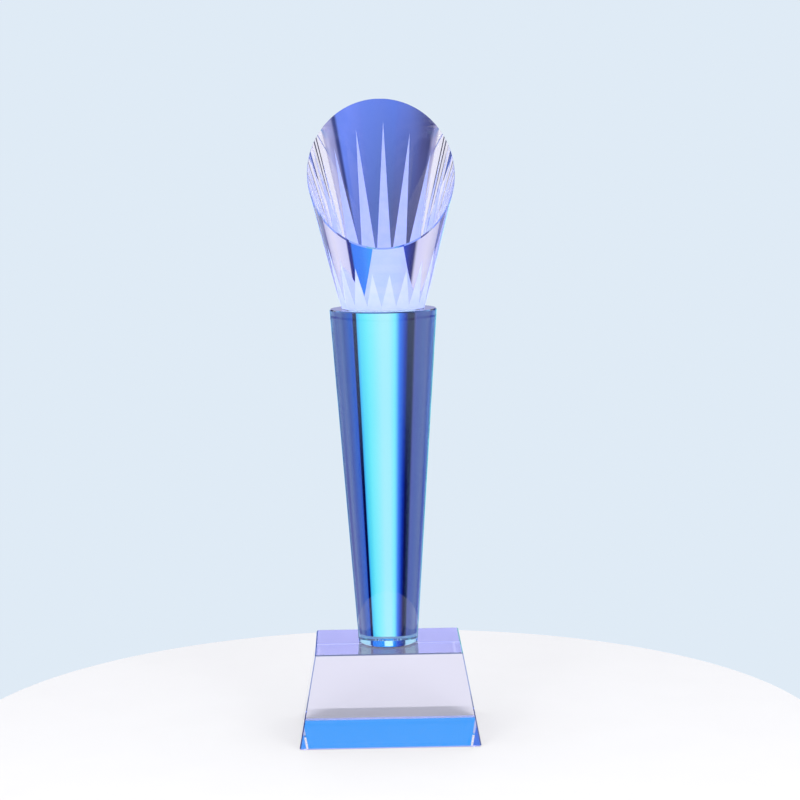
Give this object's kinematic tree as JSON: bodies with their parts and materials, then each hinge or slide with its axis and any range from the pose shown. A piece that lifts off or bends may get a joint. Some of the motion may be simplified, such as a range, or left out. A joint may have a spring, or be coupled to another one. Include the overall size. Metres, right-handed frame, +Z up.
{
  "type": "crystal award",
  "caption": "Crystal award: a slant-cut cone with frosted spikes stands on a tapered round column, glued to a rectangular block base.",
  "frame": {"origin": "middle of the base's underside, on the surface that the award stands on", "axes": "+Z up along the column; the slanted oval face and the base's engraving face look towards -Y; +X is to a viewer's right"},
  "size_m": [0.0798, 0.0719, 0.2838],
  "materials": {
    "clear_crystal": "polished, with frosted spikes on the top piece",
    "blue_crystal": "polished",
    "clear_adhesive": "clear, cured"
  },
  "bodies": {
    "root": {"base_block": "clear_crystal", "base_bond": "clear_adhesive", "column": "blue_crystal", "neck_bond": "clear_adhesive", "top_crystal": "clear_crystal"}
  },
  "joints": []
}
